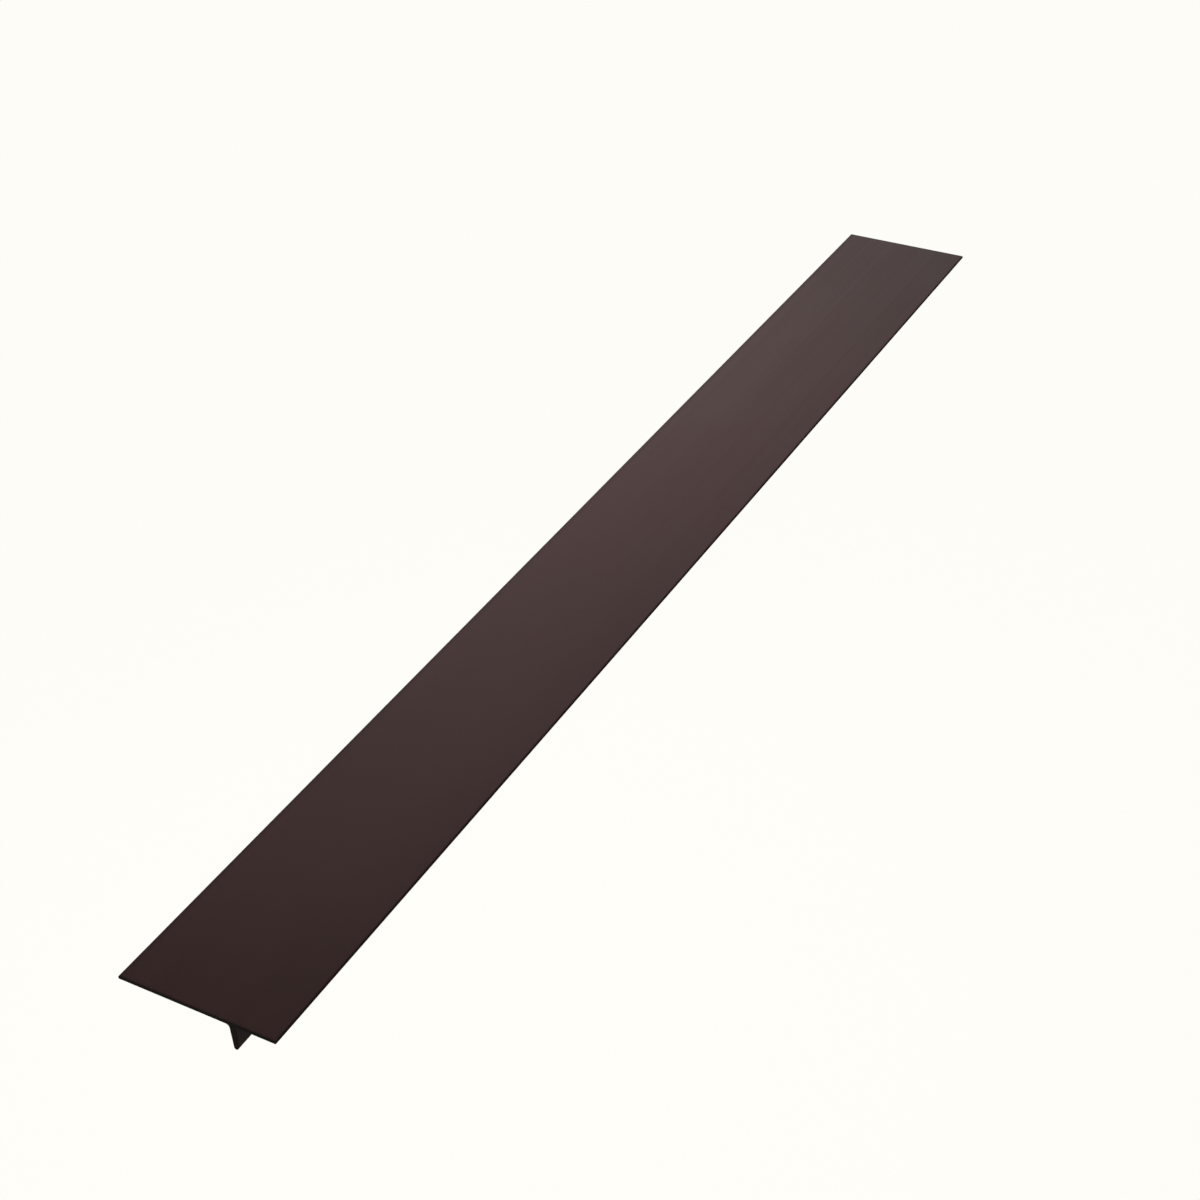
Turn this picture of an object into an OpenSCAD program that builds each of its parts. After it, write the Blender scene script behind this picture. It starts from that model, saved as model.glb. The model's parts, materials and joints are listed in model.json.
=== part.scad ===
// Self-adhesive T-section door sweep, lying with its show face up.
// X runs across the strip, with the wide wing towards -X and the floor wiper towards +X.
// Y runs along the strip, and +Z points out of the show face.
// The origin is the middle of the bonded area, on the plane that meets the door's face.

/* [Strip] */
// Length of the strip, cut square at both ends
strip_len = 533; // [150:1:2000]
// Width over both wings
strip_w = 55; // [50:0.5:70]
// Thickness of both wings
wing_t = 1; // [0.8:0.1:1.6]
// Radius along the wide wing's free edge
edge_r = 0.25; // [0.1:0.05:0.35]

/* [Leg] */
// Distance from the wide wing's free edge to the middle of the leg
leg_inset = 40; // [38:0.5:42]
// Depth of the leg below the underside of the wings
leg_depth = 9.5; // [7:0.5:14]
// Radius of the leg's round tip
leg_tip_r = 0.72; // [0.5:0.02:0.8]
// Slope of each side of the leg, in degrees, which makes the leg thicker towards its root
leg_draft = 2.5; // [0.5:0.5:3]
// Radius of the fillets between the leg and the wings
fillet_r = 1.2; // [0.6:0.1:1.3]
// Depth below the wings' underside at which the soft fin bends
fin_bend_depth = 2.6; // [2.5:0.1:3.5]

/* [Floor wiper] */
// Distance from the middle of the leg to the line along which the wiper bends
wiper_offset = 4.5; // [2.9:0.1:6]
// Radius along the wiper's free edge
wiper_edge_r = 0.35; // [0.1:0.05:0.35]

/* [Adhesive] */
// Width of the foam tape
tape_w = 26; // [18:1:28]
// Thickness of the foam tape
tape_t = 0.8; // [0.4:0.1:1.2]
// Distance from the wide wing's free edge to the tape
tape_inset = 5; // [3:0.5:7]
// Distance from each cut end of the strip to the tape
tape_end_gap = 4; // [3:0.5:10]
// Thickness of the release liner
liner_t = 0.1; // [0.05:0.05:0.2]
// Width of the tape under the half of the liner that is peeled first
starter_w = 8; // [5:0.5:12]
// Width of the slit between the two halves of the liner
liner_slit = 0.2; // [0.1:0.1:0.6]
// How far the liner reaches past each end of the tape, as a pull tab
liner_tab = 2.5; // [0:0.5:2.5]

/* [Soft joints] */
// Clearance between a soft lip's round root and the groove that holds it
root_gap = 0.05; // [0.02:0.01:0.1]

/* [Hidden] */

smooth = 96;  // facets asked for on each circle
bite = 0.01;  // how far a round outline runs into the next one, so that the two join as one solid

brown_stiff = [0.24, 0.19, 0.18];
brown_soft = [0.20, 0.16, 0.155];
tape_grey = [0.80, 0.80, 0.78];
liner_amber = [0.93, 0.84, 0.60];

tape_left = -tape_w / 2;
tape_right = tape_w / 2;
tape_len = strip_len - 2 * tape_end_gap;
liner_len = tape_len + 2 * liner_tab;
slit_x = tape_left + starter_w;

strip_left = tape_left - tape_inset;
strip_right = strip_left + strip_w;
under_z = liner_t + tape_t;    // underside of the wings
top_z = under_z + wing_t;      // show face
mid_z = under_z + wing_t / 2;

leg_x = strip_left + leg_inset;
fin_tip_z = under_z - leg_depth + leg_tip_r;   // middle of the round tip
fin_bend_z = under_z - fin_bend_depth;
fin_root_r = leg_reach(fin_bend_z);

wiper_x = leg_x + wiper_offset;
wiper_root_r = wing_t / 2;

// Radius at height z of a circle on the leg's middle line that touches both of its sides
function leg_reach(z) = leg_tip_r + (z - fin_tip_z) * sin(leg_draft);

// Half the leg's thickness at height z
function leg_half(z) = (leg_reach(z) - bite) / cos(leg_draft);

// Gives a flat section, drawn in X and Z, the length len along Y
module along_strip(len) {
    rotate([90, 0, 0])
        linear_extrude(height = len, center = true)
            children();
}

// A bar's section from x0 to x1 and z0 to z1, whose end at x1 has corners of radius r
module bar_section(x0, x1, z0, z1, r) {
    inner_x = x1 + sign(x0 - x1) * r;
    translate([min(x0, inner_x), z0])
        square([abs(inner_x - x0), z1 - z0]);
    translate([min(x1, inner_x), z0 + r])
        square([r, z1 - z0 - 2 * r]);
    for (z = [z0 + r, z1 - r])
        translate([inner_x, z])
            circle(r = r, $fn = smooth);
}

// The section of the leg from height z_high down to z_low, with its two sloping sides
module leg_section(z_high, z_low) {
    polygon([
        [leg_x - leg_half(z_low), z_low],
        [leg_x + leg_half(z_low), z_low],
        [leg_x + leg_half(z_high), z_high],
        [leg_x - leg_half(z_high), z_high]
    ]);
}

// The fillet between the wings' underside and the leg's +X side
module fillet_section() {
    middle_z = under_z - fillet_r + bite;
    middle_x = leg_half(middle_z) + (fillet_r - bite) / cos(leg_draft);
    touch_x = middle_x - fillet_r * cos(leg_draft);
    touch_z = middle_z + fillet_r * sin(leg_draft);
    difference() {
        polygon([
            [0, under_z],
            [0, touch_z],
            [touch_x, touch_z],
            [middle_x, middle_z],
            [middle_x, under_z]
        ]);
        translate([middle_x, middle_z])
            circle(r = fillet_r, $fn = smooth);
    }
}

// Stiff back: the wide wing and the root of the narrow wing, which ends in the wiper's groove
module backing_strip() {
    color(brown_stiff)
        along_strip(strip_len)
            difference() {
                bar_section(wiper_x, strip_left, under_z, top_z, edge_r);
                translate([wiper_x, mid_z])
                    circle(r = wiper_root_r + root_gap, $fn = smooth);
            }
}

// Stiff root of the leg, extruded in one with the back: two fillets and a stub with the fin's groove
module leg_root() {
    color(brown_stiff)
        along_strip(strip_len)
            difference() {
                union() {
                    leg_section(under_z, fin_bend_z);
                    for (side = [0, 1])
                        translate([leg_x, 0])
                            mirror([side, 0])
                                fillet_section();
                }
                translate([leg_x, fin_bend_z])
                    circle(r = fin_root_r + root_gap, $fn = smooth);
            }
}

// Soft narrow wing with a round root
module floor_wiper() {
    color(brown_soft)
        along_strip(strip_len) {
            bar_section(wiper_x, strip_right, under_z, top_z, wiper_edge_r);
            translate([wiper_x, mid_z])
                circle(r = wiper_root_r, $fn = smooth);
        }
}

// Soft lower part of the leg, with a round root and a round tip
module under_door_fin() {
    color(brown_soft)
        along_strip(strip_len) {
            leg_section(fin_bend_z, fin_tip_z);
            translate([leg_x, fin_bend_z])
                circle(r = fin_root_r, $fn = smooth);
            translate([leg_x, fin_tip_z])
                circle(r = leg_tip_r, $fn = smooth);
        }
}

// A flat layer from x0 to x1 and z0 to z1, of length len
module layer(x0, x1, z0, z1, len) {
    translate([x0, -len / 2, z0])
        cube([x1 - x0, len, z1 - z0]);
}

// Double-sided foam tape under the wide wing
module adhesive_tape() {
    color(tape_grey)
        layer(tape_left, tape_right, liner_t, under_z, tape_len);
}

// The wider half of the release liner, nearest the leg
module liner_main() {
    color(liner_amber)
        layer(slit_x + liner_slit / 2, tape_right, 0, liner_t, liner_len);
}

// The narrow half of the release liner, which is peeled first
module liner_starter() {
    color(liner_amber)
        layer(tape_left, slit_x - liner_slit / 2, 0, liner_t, liner_len);
}

backing_strip();
leg_root();
floor_wiper();
under_door_fin();
adhesive_tape();
liner_main();
liner_starter();
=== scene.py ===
import json
import math

import bmesh
import bpy
from mathutils import Matrix, Vector, noise


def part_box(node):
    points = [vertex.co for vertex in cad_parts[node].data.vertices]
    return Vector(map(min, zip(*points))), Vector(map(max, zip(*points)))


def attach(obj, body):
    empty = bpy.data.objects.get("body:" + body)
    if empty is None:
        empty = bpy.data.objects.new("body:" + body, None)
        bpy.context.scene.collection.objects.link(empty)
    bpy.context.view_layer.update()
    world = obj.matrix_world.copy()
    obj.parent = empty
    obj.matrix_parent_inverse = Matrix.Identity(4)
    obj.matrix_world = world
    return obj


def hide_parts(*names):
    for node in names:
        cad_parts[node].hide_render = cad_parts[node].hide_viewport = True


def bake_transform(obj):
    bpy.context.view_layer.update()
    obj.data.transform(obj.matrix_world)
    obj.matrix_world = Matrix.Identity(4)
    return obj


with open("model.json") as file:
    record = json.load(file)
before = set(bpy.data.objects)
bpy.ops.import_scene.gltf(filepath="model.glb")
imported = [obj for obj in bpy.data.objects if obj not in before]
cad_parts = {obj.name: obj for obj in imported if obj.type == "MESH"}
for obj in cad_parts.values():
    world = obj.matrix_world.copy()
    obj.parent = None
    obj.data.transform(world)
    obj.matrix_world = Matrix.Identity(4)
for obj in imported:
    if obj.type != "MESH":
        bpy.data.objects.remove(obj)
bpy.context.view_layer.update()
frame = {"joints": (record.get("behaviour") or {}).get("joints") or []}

# The looks of a self-adhesive T-section door sweep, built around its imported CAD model.
# Everything is in metres in the CAD frame: X across the strip, Y along it, Z out of the show face.

MM = 0.001
MICRON = 0.001 * MM

# Places taken from the frame ---------------------------------------------------------------------

back_low, back_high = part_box("backing_strip")
lip_low, lip_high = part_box("floor_wiper")
fin_low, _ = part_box("under_door_fin")
tape_low, tape_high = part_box("adhesive_tape")
joint_at = {j["name"]: Vector(j["pos_m"]) for j in frame["joints"] if "pos_m" in j}

LEFT, RIGHT = back_low.x, lip_high.x
NEAR, FAR = back_low.y, back_high.y
TOP, UNDER, TIP = back_high.z, lip_low.z, fin_low.z
LEG_X = joint_at["fin_flex"].x
LIP_X = joint_at["wiper_flex"].x
middle = Vector(((LEFT + RIGHT) / 2, (NEAR + FAR) / 2, TOP))

# Section details that the boxes don't give
EDGE_R = 0.25 * MM
LIP_R = 0.35 * MM
FILLET_R = 1.2 * MM
TIP_R = 0.72 * MM
DRAFT = math.radians(2.5)
END_R = 0.09 * MM            # softened rim of each cut end
SEAM_GAP = 0.05 * MM         # from a fillet to the seam beside it


def leg_half(z):
    """Half the leg's thickness at height z."""
    return TIP_R / math.cos(DRAFT) + (z - TIP - TIP_R) * math.tan(DRAFT)


# Middle of the fillet on the +X side of the leg, measured from the leg's middle
fillet_z = UNDER - FILLET_R
fillet_x = leg_half(fillet_z) + FILLET_R / math.cos(DRAFT)

# The soft lips begin just clear of the fillets
LIP_SEAM = LEG_X + fillet_x + SEAM_GAP
FIN_SEAM = fillet_z - SEAM_GAP

# Camera, floor and light -------------------------------------------------------------------------


def new_object(name, data):
    ob = bpy.data.objects.new(name, data)
    bpy.context.scene.collection.objects.link(ob)
    return ob


def looking(azimuth, elevation, roll=0.0):
    """The rotation of something that looks back at the object from that azimuth and elevation."""
    turn = Matrix.Rotation(math.radians(azimuth), 3, "Z")
    tilt = Matrix.Rotation(math.radians(90 - elevation), 3, "X")
    return (turn @ tilt @ Matrix.Rotation(math.radians(roll), 3, "Z")).to_4x4()


# The camera stands beyond the near end, on the wiper's side, and looks down along the strip
CAMERA_PLACE = middle + Vector((0.30183, -0.55996, 0.42204))
CAMERA_AZIMUTH, CAMERA_ELEVATION, CAMERA_ROLL = 29.70, 35.41, -2.08

camera_data = bpy.data.cameras.new("camera")
camera_data.sensor_width = 36
camera_data.lens = 61.845
camera_data.clip_start, camera_data.clip_end = 0.01, 60
camera = new_object("camera", camera_data)
camera.matrix_world = (
    Matrix.Translation(CAMERA_PLACE) @ looking(CAMERA_AZIMUTH, CAMERA_ELEVATION, CAMERA_ROLL)
)
bpy.context.scene.camera = camera

view_settings = bpy.context.scene.view_settings
view_settings.view_transform = "Standard"
view_settings.look = "None"

# Node trees --------------------------------------------------------------------------------------


# A Mix node's sockets by place, because those for colours and for numbers share their names
MIX_SHARE, MIX_A, MIX_B, MIX_OUT = 0, 6, 7, 2


class Shader:
    """A material's node tree, with short calls for the nodes that the finishes share."""

    def __init__(self, name, **constants):
        self.material = bpy.data.materials.new(name)
        self.material.use_nodes = True
        self.tree = self.material.node_tree
        self.surface = next(n for n in self.tree.nodes if n.type == "BSDF_PRINCIPLED")
        self.output = next(n for n in self.tree.nodes if n.type == "OUTPUT_MATERIAL")
        self.set(**constants)

    def set(self, **values):
        """Sets or links the shader's sockets, whose names are written with _ for a space."""
        for key, value in values.items():
            self.feed(self.surface.inputs[key.replace("_", " ")], value)

    def feed(self, socket, value):
        if isinstance(value, bpy.types.NodeSocket):
            self.tree.links.new(value, socket)
        else:
            socket.default_value = value

    def add(self, kind, *inputs, **settings):
        """A new node with those settings, whose first inputs are set or linked in order."""
        made = self.tree.nodes.new("ShaderNode" + kind)
        for key, value in settings.items():
            setattr(made, key, value)
        for socket, value in zip(made.inputs, inputs):
            if value is not None:
                self.feed(socket, value)
        return made

    def rest(self):
        """The place on the piece at rest, which stays with the surface when it bends."""
        found = self.add("Attribute", attribute_name="rest")
        return found.outputs["Vector"]

    def near_edge(self):
        """1 on a sharp edge or cut rim, falling to 0 within about a millimetre."""
        return self.add("Attribute", attribute_name="edge").outputs["Fac"]

    def noise(self, size, detail=2.0, roughness=0.5, distortion=0.0, shift=0.0):
        """Noise whose features are size (x, y, z) metres across, from 0 to 1."""
        closer = tuple(1 / across for across in size)
        place = self.add("VectorMath", self.rest(), closer, operation="MULTIPLY")
        moved = self.add("VectorMath", place.outputs[0], (shift, shift * 0.7, -shift), operation="ADD")
        made = self.add("TexNoise")
        made.inputs["Scale"].default_value = 1.0
        made.inputs["Detail"].default_value = detail
        made.inputs["Roughness"].default_value = roughness
        made.inputs["Distortion"].default_value = distortion
        self.feed(made.inputs["Vector"], moved.outputs[0])
        return made.outputs[0]

    def cells(self, size):
        """Distance to the middle of the nearest cell, for cells size metres across."""
        place = self.add("VectorMath", self.rest(), (1 / size,) * 3, operation="MULTIPLY")
        made = self.add("TexVoronoi", feature="F1")
        made.inputs["Scale"].default_value = 1.0
        self.feed(made.inputs["Vector"], place.outputs[0])
        return made.outputs["Distance"]

    def spread(self, value, low, high, from_low=0.0, from_high=1.0):
        """value between from_low and from_high, carried over to low and high and held there."""
        made = self.add("MapRange", value, from_low, from_high, low, high)
        made.clamp = True
        return made.outputs[0]

    def vary(self, value, low, high):
        """The same for noise, most of which lies between 0.3 and 0.7."""
        return self.spread(value, low, high, 0.3, 0.7)

    def calc(self, operation, a, b):
        return self.add("Math", a, b, operation=operation).outputs[0]

    def total(self, *values):
        out = values[0]
        for value in values[1:]:
            out = self.calc("ADD", out, value)
        return out

    def mix(self, share, a, b):
        """Colour a at share 0 and b at share 1."""
        made = self.add("Mix", data_type="RGBA")
        for index, value in ((MIX_SHARE, share), (MIX_A, a), (MIX_B, b)):
            self.feed(made.inputs[index], value)
        return made.outputs[MIX_OUT]

    def bump(self, height, depth, under=None):
        """Relief that is depth metres high where height goes from 0 to 1."""
        made = self.add("Bump")
        made.inputs["Strength"].default_value = 1.0
        made.inputs["Distance"].default_value = depth
        self.feed(made.inputs["Height"], height)
        if under is not None:
            self.feed(made.inputs["Normal"], under)
        return made.outputs["Normal"]


def tone(colour, factor):
    """The colour made lighter or darker, with alpha 1."""
    return tuple(c * factor for c in colour) + (1.0,)


# The floor is a sheet of opal acrylic lit from within, as for product pictures on white. It lies well
# below the strip, which is held up as it is on a door. It is dark in reflections, so that the strip's
# edges stay dark, and it can be seen through from below.
WHITE = (1.0, 0.991, 0.947, 1)
FLOOR_DROP = 0.35
FLOOR_REACH = 9.0
FLOOR_GLOW, FLOOR_GLOW_MIRRORED = 0.973, 0.04
floor_corners = [
    (x * FLOOR_REACH, y * FLOOR_REACH, TIP - FLOOR_DROP)
    for x, y in ((-1, -1), (1, -1), (1, 1), (-1, 1))
]
floor_mesh = bpy.data.meshes.new("floor")
floor_mesh.from_pydata(floor_corners, [], [(0, 1, 2, 3)])
floor = new_object("floor", floor_mesh)
floor_shader = Shader("floor", Roughness=0.9, Specular_IOR_Level=0.0, Base_Color=(0.02, 0.02, 0.019, 1))
mirrored = floor_shader.add("LightPath").outputs["Is Glossy Ray"]
floor_glow = floor_shader.spread(mirrored, FLOOR_GLOW, FLOOR_GLOW_MIRRORED)
floor_shader.set(Emission_Color=WHITE, Emission_Strength=floor_glow)
see_through = floor_shader.add("BsdfTransparent")
one_sided = floor_shader.add("MixShader")
floor_shader.feed(one_sided.inputs[0], floor_shader.add("NewGeometry").outputs["Backfacing"])
floor_shader.feed(one_sided.inputs[1], floor_shader.surface.outputs[0])
floor_shader.feed(one_sided.inputs[2], see_through.outputs[0])
floor_shader.feed(floor_shader.output.inputs["Surface"], one_sided.outputs[0])
floor_mesh.materials.append(floor_shader.material)


def sun(name, azimuth, elevation, strength, width):
    """A far soft source, width degrees across, which doesn't show in reflections."""
    data = bpy.data.lights.new(name, "SUN")
    data.energy, data.angle = strength, math.radians(width)
    lamp = new_object(name, data)
    lamp.matrix_world = looking(azimuth, elevation)
    lamp.visible_glossy = False


def softbox(name, aim, offset, power, width, depth, in_reflections=True):
    """A rectangular lamp, offset from the point aim that it faces."""
    turn = Vector(offset).to_track_quat("Z", "Y").to_matrix().to_4x4()
    data = bpy.data.lights.new(name, "AREA")
    data.shape, data.energy, data.size, data.size_y = "RECTANGLE", power, width, depth
    lamp = new_object(name, data)
    lamp.matrix_world = Matrix.Translation(aim + Vector(offset)) @ turn
    lamp.visible_camera = False
    lamp.visible_glossy = in_reflections


far_end = Vector((middle.x, FAR, TOP))
sun("overhead", 30, 72, 1.46, 60)
softbox("side_fill", middle, (-0.26, 0.10, 0.24), 4.0, 0.3, 0.3, in_reflections=False)
softbox("backdrop", far_end, (-0.37, 1.01, 0.53), 1.23, 1.2, 0.6)
softbox("far_sheen", far_end, (-0.64, 0.76, 0.47), 0.21, 0.45, 0.5)

# The world is a dim studio, darker overhead. The camera sees it in the colour of the far floor.
FAR_FLOOR = 0.986
DIM_LOW, DIM_HIGH = 0.15, 0.01
world = bpy.data.worlds.new("studio")
world.use_nodes = True
bpy.context.scene.world = world
sky = world.node_tree
backdrop = next(n for n in sky.nodes if n.type == "BACKGROUND")
height = sky.nodes.new("ShaderNodeSeparateXYZ")
sky.links.new(sky.nodes.new("ShaderNodeTexCoord").outputs["Generated"], height.inputs[0])
fade = sky.nodes.new("ShaderNodeValToRGB")
fade.color_ramp.interpolation = "EASE"
for stop, place, grey in zip(fade.color_ramp.elements, (0.33, 0.64), (DIM_LOW, DIM_HIGH)):
    stop.position = place
    stop.color = (grey, grey, grey, 1)
sky.links.new(height.outputs["Z"], fade.inputs[0])
shown = sky.nodes.new("ShaderNodeMix")
shown.data_type = "RGBA"
sky.links.new(sky.nodes.new("ShaderNodeLightPath").outputs["Is Camera Ray"], shown.inputs["Factor"])
sky.links.new(fade.outputs["Color"], shown.inputs[MIX_A])
shown.inputs[MIX_B].default_value = tone(WHITE[:3], FAR_FLOOR)
sky.links.new(shown.outputs[MIX_OUT], backdrop.inputs["Color"])

# Meshes ------------------------------------------------------------------------------------------

# How each cut end is rounded, from its middle outwards: how far the outline is drawn in, and how far it
# stands from the end, both as shares of the rim
CUT_ROUNDING = ((2.0, 0.0), (1.0, 0.0), (0.3, 0.3), (0.0, 1.0))
# Further places near a cut end, closely spaced so that the wear and painted shade on the rim show
CUT_PLACES = [place * MM for place in (0.12, 0.3, 0.6, 1.0, 1.6, 3.0)]
EDGE_REACH = 0.45 * MM       # how far the wear and painted shade on an edge reach
CORNER_STEP = 0.3 * MM       # from a corner to the next point on a straight
WELD_REACH = 0.2 * MICRON
SHARP_ANGLE = math.radians(50)


def arc(x, z, radius, start, stop, steps=8):
    """Points on an arc in XZ, from start to stop degrees."""
    turns = [math.radians(start + (stop - start) * i / steps) for i in range(steps + 1)]
    return [(x + radius * math.cos(t), z + radius * math.sin(t)) for t in turns]


def run(a, b, step):
    """Points inside the line from a to b, with one close to each end so that shading stays crisp."""
    length = math.hypot(b[0] - a[0], b[1] - a[1])
    if length < 3 * CORNER_STEP:
        return []
    inner = length - 2 * CORNER_STEP
    count = max(1, round(inner / step))
    along = [(CORNER_STEP + inner * i / count) / length for i in range(count + 1)]
    return [(a[0] + (b[0] - a[0]) * t, a[1] + (b[1] - a[1]) * t) for t in along]


def outline(parts, step):
    """Joins arcs and corners, given counterclockwise, into one loop with points along each straight."""
    loop = []
    for i, part in enumerate(parts):
        loop += part
        loop += run(part[-1], parts[(i + 1) % len(parts)][0], step)
    return loop


def rectangle(low, high):
    """The four corners of a box's section, counterclockwise."""
    return [(low.x, low.z), (high.x, low.z), (high.x, high.z), (low.x, high.z)]


def stations(low, high, step, rim):
    """Places along Y, closer together at the two cut ends, where the first two lie on the cut face."""
    close = [rim * along for _, along in CUT_ROUNDING] + CUT_PLACES
    inner = high - low - 2 * close[-1]
    count = max(2, round(inner / step))
    body = [close[-1] + inner * i / count for i in range(1, count)]
    return [low + d for d in close + body] + [high - d for d in reversed(close)]


def on_seam(a, b):
    """Whether the line from a to b is where a soft lip joins the stiff back."""
    return a[0] == b[0] == LIP_SEAM or a[1] == b[1] == FIN_SEAM


def inward(a, b):
    """The unit normal of the line from a to b that points into the loop."""
    along = Vector((b[0] - a[0], b[1] - a[1])).normalized()
    return -along.y, along.x


def inset(loop, distance):
    """The loop with its lines moved inwards, all but those on a seam."""
    moved = []
    for i, here in enumerate(loop):
        before, after = loop[i - 1], loop[(i + 1) % len(loop)]
        (ax, az), (bx, bz) = inward(before, here), inward(here, after)
        a_in = 0.0 if on_seam(before, here) else distance
        b_in = 0.0 if on_seam(here, after) else distance
        turn = ax * bz - az * bx
        if abs(turn) > 1e-3:
            dx, dz = (a_in * bz - b_in * az) / turn, (ax * b_in - bx * a_in) / turn
        else:
            dx, dz = ax * a_in, az * a_in
        moved.append((here[0] + dx, here[1] + dz))
    return moved


def closeness(distance):
    """1 on an edge, falling to 0 within about a millimetre."""
    return math.exp(-((distance / EDGE_REACH) ** 2))


def weld(mesh):
    """Joins the points that coincide, as those on a seam do where it meets a cut end."""
    joined = bmesh.new()
    joined.from_mesh(mesh)
    bmesh.ops.remove_doubles(joined, verts=joined.verts, dist=WELD_REACH)
    joined.to_mesh(mesh)
    joined.free()


def extruded(name, loop, low, high, materials, corners, shape, step=5 * MM, rim=END_R, side=None):
    """A closed mesh: the loop drawn along Y, its cut ends slightly rounded, then moved by shape(x, y, z).

    Near the cut ends and the corners it is marked for wear and for painted shade. The cut ends take the
    second material, and so do the sides whose normals pass side(nx, nz)."""
    ys = stations(low, high, step, rim)
    points, edge = [], []
    for k, y in enumerate(ys):
        from_end = min(k, len(ys) - 1 - k)
        ring = inset(loop, rim * CUT_ROUNDING[from_end][0]) if from_end < len(CUT_ROUNDING) else loop
        for x, z in ring:
            points.append(Vector((x, y, z)))
            to_corner = min((math.hypot(x - cx, z - cz) for cx, cz in corners), default=1)
            to_end = min(y - low, high - y)
            edge.append(max(closeness(to_corner), closeness(to_end)))
    around = len(loop)
    faces, kinds = [tuple(range(around))], [1]
    for k in range(len(ys) - 1):
        near, far = k * around, (k + 1) * around
        on_cut = k in (0, len(ys) - 2)
        for i in range(around):
            j = (i + 1) % around
            faces.append((near + i, far + i, far + j, near + j))
            (ax, az), (bx, bz) = loop[i], loop[j]
            kinds.append(1 if on_cut or (side and side(bz - az, ax - bx)) else 0)
    faces.append(tuple(reversed(range(far, far + around))))
    kinds.append(1)
    mesh = bpy.data.meshes.new(name)
    mesh.from_pydata([shape(*point) for point in points], [], faces)
    mesh.polygons.foreach_set("use_smooth", [True] * len(faces))
    mesh.polygons.foreach_set("material_index", kinds)
    for material in materials:
        mesh.materials.append(material)
    rest = mesh.attributes.new("rest", "FLOAT_VECTOR", "POINT")
    rest.data.foreach_set("vector", [value for point in points for value in point])
    mesh.attributes.new("edge", "FLOAT", "POINT").data.foreach_set("value", edge)
    weld(mesh)
    mesh.set_sharp_from_angle(angle=SHARP_ANGLE)
    return new_object(name, mesh)


def wave(y, length, seed):
    """Smooth change along the strip from 0 to 1, repeating about every length."""
    return 0.5 + 0.5 * noise.noise(Vector((seed, y / length, seed * 0.37)))


def sink(x, y, z):
    """How far a point of the wings has sunk: a few hundredths of a millimetre on the show face."""
    share = max(0.0, (z - UNDER) / (TOP - UNDER))
    return 0.03 * MM * share * wave(y + 3 * x, 90 * MM, 2.0)


# Finishes ----------------------------------------------------------------------------------------


def brown_plastic(name, colour, matt, lines, grain):
    """Satin extruded plastic: faint lines drawn by the die, a fine grain, dull edges, and painted shade
    that darkens them.
    """
    skin = Shader(name, IOR=1.5, Specular_IOR_Level=0.32)
    bands = skin.noise((4.5 * MM, 700 * MM, 4.5 * MM), 3, 0.55)
    drawn = skin.noise((0.7 * MM, 260 * MM, 0.7 * MM), 2, 0.6, shift=7)
    cooling = skin.noise((38 * MM, 75 * MM, 38 * MM), 4, 0.55, shift=3)
    speckle = skin.noise((0.22 * MM,) * 3, 2, 0.6)
    rubs = skin.noise((9 * MM, 1.6 * MM, 9 * MM), 3, 0.65, 0.8, shift=11)
    rubbed = skin.spread(rubs, 0, 1, 0.66, 0.80)
    edge = skin.near_edge()
    light = skin.total(
        skin.vary(cooling, -0.025, 0.025),
        skin.vary(bands, -0.015, 0.015),
        skin.vary(speckle, -0.025, 0.025),
        # Painted shade: the colour darkens along edges and cut rims, as they look in shade.
        skin.spread(edge, 0, -0.4),
        skin.calc("MULTIPLY", rubbed, 0.025),
        0.5,
    )
    skin.set(Base_Color=skin.mix(light, tone(colour, 0.1), tone(colour, 1.9)))
    skin.set(Roughness=skin.total(
        skin.vary(cooling, -0.035, 0.035),
        skin.vary(bands, -0.03, 0.03),
        skin.vary(drawn, -0.02, 0.02),
        skin.calc("MULTIPLY", rubbed, -0.05),
        skin.spread(edge, 0, 0.18),
        matt,
    ))
    relief = skin.bump(bands, 9 * MICRON * lines)
    relief = skin.bump(drawn, 2.5 * MICRON * lines, relief)
    skin.set(Normal=skin.bump(speckle, 5 * MICRON * grain, relief))
    return skin.material


def cut_plastic(name, colour):
    """The end left by the cut: matt, scored straight down by the blade."""
    skin = Shader(name, IOR=1.5, Specular_IOR_Level=0.22)
    scored = skin.noise((0.11 * MM, 5 * MM, 3.2 * MM), 3, 0.6, 0.3)
    torn = skin.noise((0.35 * MM,) * 3, 3, 0.6)
    light = skin.total(skin.vary(scored, 0.25, 0.75), skin.vary(torn, -0.2, 0.2))
    skin.set(Base_Color=skin.mix(light, tone(colour, 0.7), tone(colour, 1.3)))
    skin.set(Roughness=skin.vary(torn, 0.62, 0.85))
    skin.set(Normal=skin.bump(torn, 14 * MICRON, skin.bump(scored, 16 * MICRON)))
    return skin.material


BROWN = (0.0256, 0.0131, 0.0123)
# Painted shade: the cut ends take a much darker copy of the strip's brown, the soft lips' ends darker
# still, as they look in shade.
SHADED_CUT_BROWN = (0.0105, 0.0072, 0.0068)
stiff = brown_plastic("stiff_skin", BROWN, 0.40, 1.0, 1.0)
soft = brown_plastic("soft_skin", BROWN, 0.43, 0.7, 1.3)
stiff_cut = cut_plastic("stiff_cut", SHADED_CUT_BROWN)
soft_cut = cut_plastic("soft_cut", tone(SHADED_CUT_BROWN, 0.92)[:3])

# Strip: wide wing, fillets and stub of the leg -----------------------------------------------------

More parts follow.
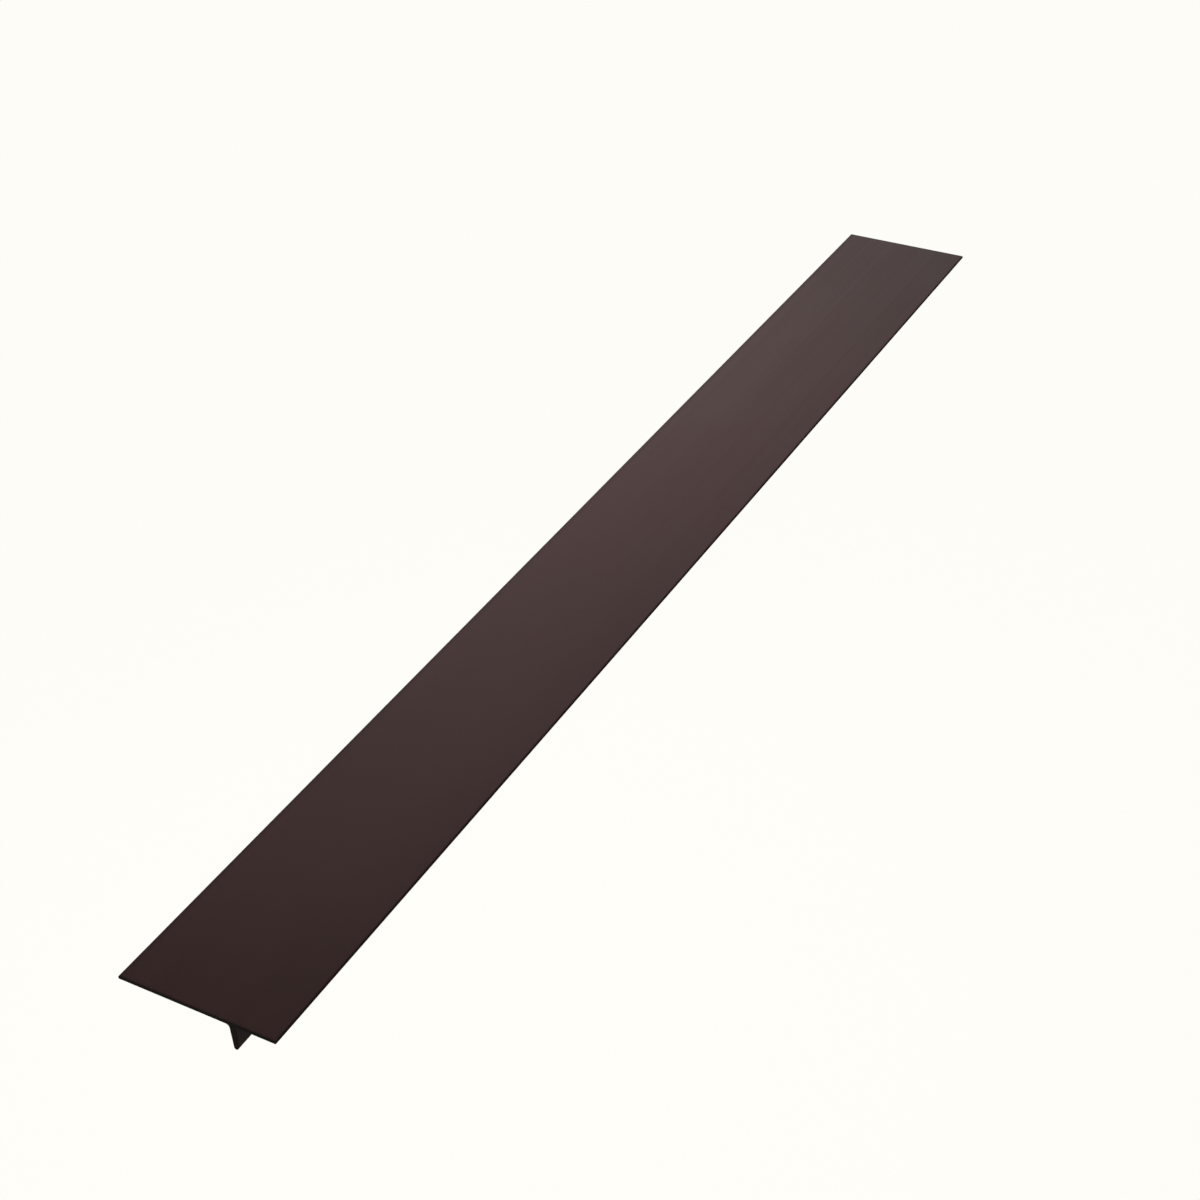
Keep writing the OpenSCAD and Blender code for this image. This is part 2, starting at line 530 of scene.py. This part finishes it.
draft_deg = math.degrees(DRAFT)
back_loop = outline(
    [
        arc(LEFT + EDGE_R, UNDER + EDGE_R, EDGE_R, 180, 270),
        arc(LEG_X - fillet_x, fillet_z, FILLET_R, 90, draft_deg, 10),
        [(LEG_X - leg_half(FIN_SEAM), FIN_SEAM)],
        [(LEG_X + leg_half(FIN_SEAM), FIN_SEAM)],
        arc(LEG_X + fillet_x, fillet_z, FILLET_R, 180 - draft_deg, 90, 10),
        [(LIP_SEAM, UNDER)],
        [(LIP_SEAM, TOP)],
        arc(LEFT + EDGE_R, TOP - EDGE_R, EDGE_R, 90, 180),
    ],
    1.8 * MM,
)
back_corners = [(LEFT, TOP), (LEFT, UNDER)]


def back_shape(x, y, z):
    return Vector((x, y, z - sink(x, y, z)))


backing = extruded("backing", back_loop, NEAR, FAR, (stiff, stiff_cut), back_corners, back_shape)
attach(backing, "strip")
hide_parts("backing_strip", "leg_root")

# Floor wiper: the soft narrow wing ---------------------------------------------------------------

lip_loop = outline(
    [
        [(LIP_SEAM, UNDER)],
        arc(RIGHT - LIP_R, UNDER + LIP_R, LIP_R, 270, 360),
        arc(RIGHT - LIP_R, TOP - LIP_R, LIP_R, 0, 90),
        [(LIP_SEAM, TOP)],
    ],
    0.7 * MM,
)
lip_middle_z = (UNDER + TOP) / 2
lip_corners = [(RIGHT, z) for z in (UNDER, lip_middle_z, TOP)]


def lip_shape(x, y, z):
    """The show face sinks as on the wide wing, and the soft free edge wanders along its length."""
    share = max(0.0, (x - LIP_X) / (RIGHT - LIP_X))
    x -= 0.05 * MM * share * wave(y, 26 * MM, 5.0)
    inwards = 0.07 * MM * share * share * wave(y, 38 * MM, 9.0)
    return Vector((x, y, z - sink(x, y, z) - inwards * (z - UNDER) / (TOP - UNDER)))


wiper_lip = extruded("wiper_lip", lip_loop, NEAR, FAR, (soft, soft_cut), lip_corners, lip_shape)
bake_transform(wiper_lip)
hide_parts("floor_wiper")

# Fin: the soft leg -------------------------------------------------------------------------------

fin_loop = outline(
    [
        [(LEG_X - leg_half(FIN_SEAM), FIN_SEAM)],
        arc(LEG_X, TIP + TIP_R, TIP_R, 180 + draft_deg, 360 - draft_deg, 16),
        [(LEG_X + leg_half(FIN_SEAM), FIN_SEAM)],
    ],
    0.5 * MM,
)


def fin_shape(x, y, z):
    """The soft leg leans and its tip rises a little, here and there along its length."""
    share = max(0.0, (FIN_SEAM - z) / (FIN_SEAM - TIP))
    x += 0.05 * MM * share * (2 * wave(y, 52 * MM, 14.0) - 1)
    return Vector((x, y, z + 0.06 * MM * share * wave(y, 33 * MM, 21.0)))


leg_fin = extruded("leg_fin", fin_loop, NEAR, FAR, (soft, soft_cut), [(LEG_X, TIP)], fin_shape)
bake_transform(leg_fin)
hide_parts("under_door_fin")

# Foam tape ---------------------------------------------------------------------------------------


def foam(name):
    """Cut side of closed-cell foam: open bubbles with painted shade in their hollows, matt, slightly
    dusty.
    """
    skin = Shader(name, IOR=1.4, Specular_IOR_Level=0.25)
    bubble = skin.cells(0.24 * MM)
    small = skin.cells(0.11 * MM)
    hollow = skin.spread(bubble, 0, 1, 0.05, 0.55)
    stain = skin.noise((14 * MM,) * 3, 3, 0.6)
    # Painted shade: the colour darkens in the bubble hollows; the stain is the foam's own.
    shade = skin.total(skin.vary(stain, -0.12, 0.12), skin.spread(bubble, 0.25, 0.8, 0.05, 0.5))
    skin.set(Base_Color=skin.mix(shade, (0.42, 0.42, 0.40, 1), (0.74, 0.74, 0.71, 1)))
    skin.set(Roughness=skin.spread(small, 0.72, 0.9, 0.1, 0.6))
    skin.set(Normal=skin.bump(small, 15 * MICRON, skin.bump(hollow, 45 * MICRON)))
    return skin.material


def tacky(name):
    """The tape's adhesive face: clear glue with the fine cross-pattern of its release liner, and painted
    shade in its pores.
    """
    skin = Shader(name, IOR=1.47, Specular_IOR_Level=0.45)
    dents = skin.noise((1.6 * MM, 2.6 * MM, 1.6 * MM), 3, 0.6, 0.6)
    pores = skin.cells(0.5 * MM)
    patch = skin.noise((18 * MM, 40 * MM, 18 * MM), 3, 0.55, shift=4)
    # Painted shade: the colour darkens in the pores' dents; the patches are the glue's own.
    shade = skin.total(skin.vary(patch, -0.18, 0.18), skin.spread(pores, 0.35, 0.65, 0.1, 0.6))
    skin.set(Base_Color=skin.mix(shade, (0.55, 0.55, 0.51, 1), (0.72, 0.72, 0.68, 1)))
    skin.set(Roughness=skin.total(skin.vary(dents, 0.20, 0.34), skin.vary(patch, 0, 0.1)))
    skin.set(Normal=skin.bump(pores, 8 * MICRON, skin.bump(dents, 22 * MICRON)))
    return skin.material


def tape_shape(x, y, z):
    """The sides bulge at half height and the slitter's cut wanders."""
    centre, half = (tape_low.x + tape_high.x) / 2, (tape_high.x - tape_low.x) / 2
    out = (x - centre) / half
    height = 2 * (z - tape_low.z) / (tape_high.z - tape_low.z) - 1
    drawn_in = 0.07 * MM * height * height + 0.10 * MM * wave(y, 11 * MM, 31.0 + out)
    return Vector((x - out * abs(out) ** 9 * drawn_in, y, z))


def is_upright(nx, nz):
    """Whether a side with that normal was cut by the slitter."""
    return abs(nx) > abs(nz)


tape_corners = rectangle(tape_low, tape_high)
foam_tape = extruded(
    "foam_tape",
    outline([[corner] for corner in tape_corners], 1.6 * MM),
    tape_low.y,
    tape_high.y,
    (tacky("tape_glue"), foam("tape_foam")),
    tape_corners,
    tape_shape,
    step=2.5 * MM,
    rim=0.03 * MM,
    side=is_upright,
)
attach(foam_tape, "strip")
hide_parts("adhesive_tape")

# Release liner in two halves ---------------------------------------------------------------------


def liner_paper(name):
    """Amber release paper: glossy coating over fibres, with streaks along the roll."""
    skin = Shader(name, IOR=1.5, Specular_IOR_Level=0.5, Coat_Weight=0.35, Coat_Roughness=0.12)
    fibres = skin.noise((0.45 * MM, 3.2 * MM, 0.45 * MM), 4, 0.65, 0.5)
    cloud = skin.noise((7 * MM, 13 * MM, 7 * MM), 4, 0.6, shift=5)
    streak = skin.noise((1.4 * MM, 300 * MM, 1.4 * MM), 2, 0.5, shift=9)
    shade = skin.total(
        skin.vary(cloud, 0.2, 0.6),
        skin.vary(fibres, -0.15, 0.25),
        skin.vary(streak, -0.05, 0.05),
        skin.spread(skin.near_edge(), 0, 0.25),
    )
    skin.set(Base_Color=skin.mix(shade, (0.46, 0.25, 0.075, 1), (0.66, 0.41, 0.15, 1)))
    skin.set(Roughness=skin.total(skin.vary(cloud, 0.26, 0.38), skin.vary(fibres, 0, 0.08)))
    skin.set(Normal=skin.bump(fibres, 6 * MICRON, skin.bump(cloud, 30 * MICRON)))
    return skin.material


liner_finish = liner_paper("liner_paper")
TAB_R = 1.2 * MM             # rounded corners of the pull tabs


def liner_half(name, node, body, near_curl, far_curl, seed):
    """One half of the liner, flat on the tape, its pull tabs rounded and curling off the tape's ends."""
    low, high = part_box(node)
    centre, half = (low.x + high.x) / 2, (high.x - low.x) / 2
    tab = high.y - tape_high.y

    def shape(x, y, z):
        to_end = min(y - low.y, high.y - y)
        if to_end < TAB_R:
            rounding = TAB_R - math.sqrt(max(0.0, TAB_R**2 - (TAB_R - to_end) ** 2))
            x = centre + (x - centre) * (1 - rounding / half)
        lifted = max(0.0, 1 - to_end / (tab + 1.5 * MM))
        curl = near_curl if y < 0 else far_curl
        twist = 0.75 + 0.5 * wave(x, 9 * MM, seed)
        ripple = 0.012 * MM * wave(y + 2 * x, 16 * MM, seed + 3)
        return Vector((x, y, z - curl * twist * lifted**2 - ripple * lifted))

    corners = rectangle(low, high)
    half_liner = extruded(
        name,
        outline([[corner] for corner in corners], 1.0 * MM),
        low.y,
        high.y,
        (liner_finish, liner_finish),
        corners[:2],
        shape,
        step=4 * MM,
        rim=0.01 * MM,
    )
    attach(half_liner, body)
    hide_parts(node)


liner_half("liner_wide", "liner_main", "main_liner", 0.25 * MM, 0.4 * MM, 41.0)
liner_half("liner_narrow", "liner_starter", "starter_liner", 0.7 * MM, 0.3 * MM, 53.0)
